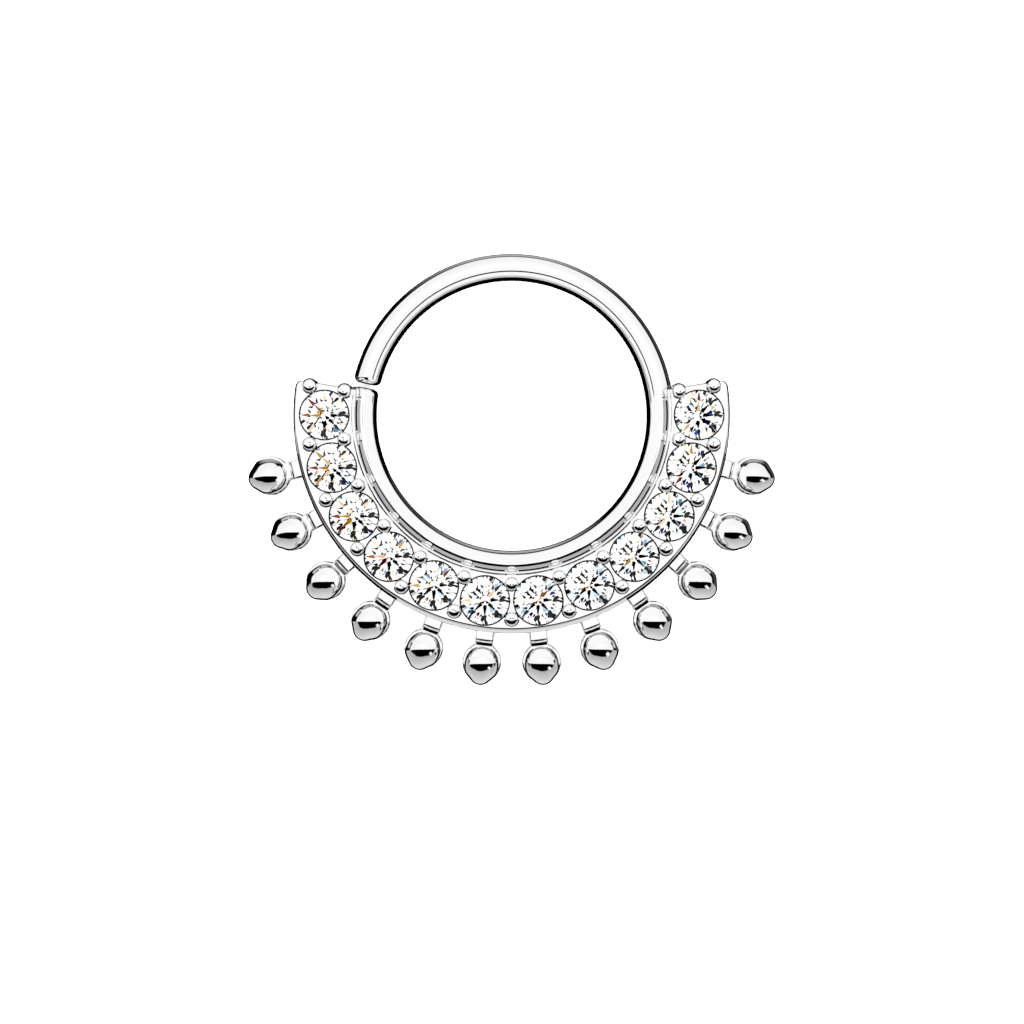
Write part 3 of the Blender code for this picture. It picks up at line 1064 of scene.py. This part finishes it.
@dataclass(frozen=True)
class Tent:
    """The light tent round the ring, drawn as a mirror ball seen from above would show it.

    The ball shows a direction at the point whose normal is half way between it and straight up. Places are
    across and up the ball, from -1 to 1. A mask's pair is its level and softness, a light's is both its ends.
    The zenith is a hair over 1, so that straight down has a direction too.
    """

    zenith: Numbers = (0.0, 0.0, 1.0001)
    floor_light: float = 3.2
    backdrop: float = 0.93
    horizon: Pair = (-0.035, 0.02)
    sides: Pair = (0.45, 0.4)
    dome: Pair = (0.3, 0.5)
    dome_light: Pair = (1.15, 0.98)
    line_start: Pair = (0.74, 0.70)
    line_end: float = 0.81
    line_softness: float = 0.03
    line_light: Pair = (0.12, 0.0)
    far_light: float = 0.46
    far_side: Pair = (0.0, 0.2)
    far_side_light: Pair = (0.0, 0.06)
    oval: Pair = (0.66, 0.4)
    oval_edge: Pair = (1.0, 0.06)
    foreground: Pair = (0.45, 0.80)
    lozenge: Pair = (0.42, -0.26)
    lozenge_edge: Pair = (0.1, 0.02)
    rim: Pair = (0.875, 0.94)
    rim_softness: float = 0.02
    fire: float = 0.005
    cell_rate: float = 9.0
    cell_shift: Pair = (-2.17, 2.12)
    cell_edge: Pair = (-0.3, 0.2)
    cell_bound: Pair = (0.5, 0.02)
    cell_light: float = 1.25

    def world(self) -> None:
        """Puts up the tent as the scene's world.

        Mirrored rays see the ball's picture. Rays out of a stone see cells, the three colours a little apart.
        The floor and the backdrop have even light.
        """
        graph = Graph(bpy.data.worlds.new("light_tent"))
        graph.owner.cycles.sampling_method = "NONE"
        bpy.context.scene.world = graph.owner
        way = graph.node("ShaderNodeTexCoord").outputs["Generated"]
        raised = graph.node("ShaderNodeVectorMath", {"operation": "ADD"}, {0: way, 1: self.zenith})
        ball = graph.node("ShaderNodeVectorMath", {"operation": "NORMALIZE"}, {0: raised})
        across, up, _ = graph.split(ball)
        pattern = self.picture(across, up)
        cells = [self.sparkle(across + shift, up - shift) for shift in (-self.fire, 0.0, self.fire)]
        mirrored = graph.node("ShaderNodeCombineColor", {}, {0: pattern, 1: pattern, 2: pattern}).outputs[0]
        refracted = graph.node("ShaderNodeCombineColor", {}, dict(enumerate(cells))).outputs[0]
        path = graph.node("ShaderNodeLightPath").outputs
        seen = graph.mixed(Value(graph, path["Is Transmission Ray"]), mirrored, refracted)
        seen = graph.mixed(Value(graph, path["Is Diffuse Ray"]), seen, grey(self.floor_light))
        seen = graph.mixed(Value(graph, path["Is Camera Ray"]), seen, grey(self.backdrop))
        graph.surface("ShaderNodeBackground", {"Color": seen, "Strength": 1.0}, "ShaderNodeOutputWorld")

    def picture(self, across: Value, up: Value) -> Value:
        """The tent's light as a mirror ball shows it.

        Args:
            across: The place across the ball.
            up: The place up the ball.

        Returns:
            The light: a white dome that ends in a dark line, a dark oval below it with a bright lozenge, a
            grey foreground that grows paler outwards, and darkness round the rim.
        """
        reach = (across * across + up * up).root()
        side = (across.size() / (reach + 0.001)).above(*self.sides)
        above = up.above(*self.horizon)
        dome = reach.above(*self.dome).between(*self.dome_light)
        line_in = reach.above(side.between(*self.line_start), self.line_softness)
        line_out = reach.above(self.line_end, self.line_softness)
        far = side.between(self.far_light, across.above(*self.far_side).between(*self.far_side_light))
        upper = line_in.between(dome, line_out.between(side.between(*self.line_light), far))
        wide, high = across / self.oval[0], up / self.oval[1]
        oval = (wide * wide + high * high).root()
        lower = oval.above(*self.oval_edge).between(0.0, (oval - 1.0).clamped().between(*self.foreground))
        x, y = self.lozenge
        lozenge = 1 - ((across - x).size() + (up - y).size()).above(*self.lozenge_edge)
        rim = reach.above(above.between(*self.rim), self.rim_softness)
        return rim.between(above.between(lozenge.between(lower, 1.0), upper), 0.0)

    def sparkle(self, across: Value, up: Value) -> Value:
        """The tent's light as the stones gather it: white, with rows of dark cells where two waves cross.

        Args:
            across: The place across the ball.
            up: The place up the ball.

        Returns:
            The light: 0 in the cells and below the horizon.
        """
        first, second = self.cell_shift
        cells = (across * self.cell_rate + first).wave() * (up * self.cell_rate + second).wave()
        light = cells.above(*self.cell_edge)
        return light * (1 - (across * across + up * up).above(*self.cell_bound)) * self.cell_light


@dataclass
class Studio:
    """The pale floor, the reflector cards and flags round the ring, and the camera.

    Cards are radii round the hoop's centre and heights in millimetres: the skirt leans, foot first, and the
    liner stands upright in the hollow behind the wire.
    """

    centre_y: float
    stones: StoneRow
    camera_distance: float = 80.0
    camera_x: float = 0.0095
    camera_y: float = -1.25
    camera_clip: Pair = (0.001, 20.0)
    picture_side: int = 1024
    sensor: float = 36.0
    pixels_per_mm: float = 33.78
    scale_height: float = 0.3
    floor_side: float = 4000.0
    paper_tones: Pair = (0.93, 0.95)
    mottle_size: float = 1000 / 60
    card_light: float = 1.05
    card_height: float = 2.8
    card_thickness: float = 0.05
    card_gap: Pair = (1.85, 2.55)
    card_shift: float = 0.5
    card_reach: float = 4.25
    card_sides: int = 96
    floor_depth: float = 1.0
    skirt: Numbers = (6.66, 0.46, 6.705, 1.1, 0.006)
    skirt_ends: Numbers = (190.0, 238.0, 302.0, 350.0)
    card_steps: int = 60
    lining_gap: float = 0.01
    lining_light: float = 0.8
    liner: Numbers = (4.575, 0.845, 4.575, 1.1, 0.01)
    liner_ends: Pair = (174.0, 366.0)
    liner_steps: int = 160
    liner_light: float = 0.5
    low_flag: Numbers = (3.95, 0.01, 0.02)
    low_flag_ends: Pair = (-20.0, 200.0)
    flag_height: float = 35.0
    flag_size: float = 1.1
    flag_sides: int = 24

    def camera(self) -> None:
        """Sets a camera straight above the ring, looking down with +Y upwards in the picture.

        Its lens is the focal length in pixels, times the sensor's width over the picture's.
        """
        data = bpy.data.cameras.new("camera")
        focal = self.pixels_per_mm * (self.camera_distance - self.scale_height)
        data.sensor_width = self.sensor
        data.lens = focal * self.sensor / self.picture_side
        data.clip_start, data.clip_end = self.camera_clip
        made = bpy.data.objects.new("camera", data)
        made.location = (self.camera_x * MM, self.camera_y * MM, self.camera_distance * MM)
        bpy.context.scene.collection.objects.link(made)
        bpy.context.scene.camera = made

    def card(self, name: str, shell: Shell, material: Material, rays: Rays = Rays.REFLECTED) -> None:
        """Puts up a floor, reflector or flag, which is not attached to the ring.

        Args:
            name: Its name.
            shell: Its shape.
            material: What it is made of.
            rays: The only rays that meet it.
        """
        made = bpy.data.objects.new(name, shell.mesh(name, self.centre_y))
        made.data.materials.append(material)
        bpy.context.scene.collection.objects.link(made)
        for kind in Rays.ALL.value:
            setattr(made, f"visible_{kind}", kind in rays.value)

    def paper(self) -> Material:
        """Pale seamless paper with the faintest mottling.

        Returns:
            A matt material between two pale tones.
        """
        graph = Graph(bpy.data.materials.new("pale_paper"))
        mottle = graph.noise(graph.place(), self.mottle_size, detail=2.0)
        tone = graph.mixed(mottle, *(grey(level) for level in self.paper_tones))
        coat = {"Base Color": tone, "Roughness": 1.0, "Specular IOR Level": 0.0}
        return graph.surface("ShaderNodeBsdfPrincipled", coat)

    @staticmethod
    def glow(name: str, strength: float) -> Material:
        """An evenly lit card, or a black flag.

        Args:
            name: The material's name.
            strength: Its light, zero for a flag.

        Returns:
            The material, which is only seen mirrored.
        """
        graph = Graph(bpy.data.materials.new(name))
        graph.owner.cycles.emission_sampling = "NONE"
        return graph.surface("ShaderNodeEmission", {"Color": grey(1.0), "Strength": strength})

    def disc(self, radius: float, height: float, sides: int) -> Shell:
        """A thin level disc with its underside at this height."""
        top = height + self.card_thickness
        return turned_profile(np.array([(0.0, top), (radius, top), (radius, height), (0.0, height)]), sides)

    def ring_card(self) -> Shell:
        """A level ring round the disc of the round card, whose opening is shifted as that disc is.

        Returns:
            The closed ring.
        """
        near, far = self.card_gap[1], self.card_reach
        low, high = self.card_height, self.card_height + self.card_thickness
        radius, level = rectangle(near, low, far, high).T
        points = polar(radius, full_turn(self.card_sides)[:, None], level).reshape(-1, 3)
        inner = np.hypot(*points.T[:2]) < (near + far) / 2
        points[inner, 1] += self.card_shift
        index = np.arange(len(points) + len(level)).reshape(-1, len(level)) % len(points)
        return Shell(points, [lattice(index)]).outward()

    def table_flags(self) -> Shell:
        """Small black flags high over the stones, where the camera's rays go from the stones' flat tables.

        A mirrored ray leaves a table as steeply as it came, so by the flags' height it has moved on from the
        camera's axis by the height climbed over the camera's own height above the table.

        Returns:
            Twelve discs as one shell.
        """
        stones = self.stones
        table = stones.girdle_top + stones.crown
        growth = 1 + (self.flag_height - table) / (self.camera_distance - table)
        radius = self.flag_size * stones.table_share * stones.stone_radius * growth
        disc = self.disc(radius, self.flag_height, self.flag_sides)
        eye = np.array([self.camera_x, self.camera_y - self.centre_y])
        return joined(disc.moved(*(eye + (middle[:2] - eye) * growth)) for middle in stones.middles())

    def build(self) -> None:
        """Sets up the floor, the cards above, beside and inside the ring, the flags, tent and camera."""
        half = self.floor_side / 2
        floor = slab(rectangle(-half, -half, half, half), -self.floor_depth, 0.0)
        self.card("floor", floor, self.paper(), Rays.FLOOR)
        white, black = self.glow("white_card", self.card_light), self.glow("black_flag", 0.0)
        grey_card, pale = self.glow("grey_card", self.liner_light), self.glow("pale_card", self.lining_light)
        disc = self.disc(self.card_gap[0], self.card_height, self.card_sides)
        self.card("round_card", disc.moved(0.0, self.card_shift), white)
        self.card("ring_card", self.ring_card(), white)
        left, first, last, right = self.skirt_ends
        skirt, steps = slanted(*self.skirt), self.card_steps
        lining = skirt - (self.lining_gap, 0.0)
        self.card("skirt_card", swept(skirt, left, right, 2 * steps), white)
        self.card("left_lining", swept(lining, left, first, steps), black)
        self.card("lower_lining", swept(lining, first, last, steps), pale)
        self.card("right_lining", swept(lining, last, right, steps), black)
        self.card("liner_card", swept(slanted(*self.liner), *self.liner_ends, self.liner_steps), grey_card)
        reach, low, high = self.low_flag
        self.card("low_flag", slab(arc((0, 0), reach, *self.low_flag_ends, steps), low, high), black)
        self.card("table_flags", self.table_flags(), black)
        Tent().world()
        self.camera()
        bpy.context.scene.view_settings.view_transform = "Standard"


def main() -> None:
    """Dresses the frame and sets the studio round it."""
    logging.basicConfig(level=logging.INFO, format="%(name)s %(message)s")
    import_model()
    hoop, stones, drops = HoopWire(), StoneRow(), Drops()
    centre_y = (drops.reach - hoop.hoop_radius - hoop.wire_radius) / 2
    bench = Bench(centre_y)
    wire_steel = BrightSteel("drawn_wire_steel", line_stretch=(1.0, 0.1, 1.0)).material()
    # painted shade: the casting is coloured dark inside the gallery, between these radii and heights
    hollow = (4.61, 6.235, 0.02, 1.11)
    cast_steel = BrightSteel("polished_casting_painted_shade", hollow=hollow, centre_y=centre_y, cloud_size=0.6).material()
    drop_steel = BrightSteel("burnished_drops", cloud_size=0.35).material()
    hoop.build(bench, wire_steel)
    Gallery(stones).build(bench, cast_steel)
    Prongs(stones).build(bench, drop_steel)
    Ribs(stones).build(bench, cast_steel)
    drops.build(bench, drop_steel)
    stones.build(bench, CutCrystal("cut_crystal").material())
    Studio(centre_y, stones).build()


if __name__ == "__main__":
    main()
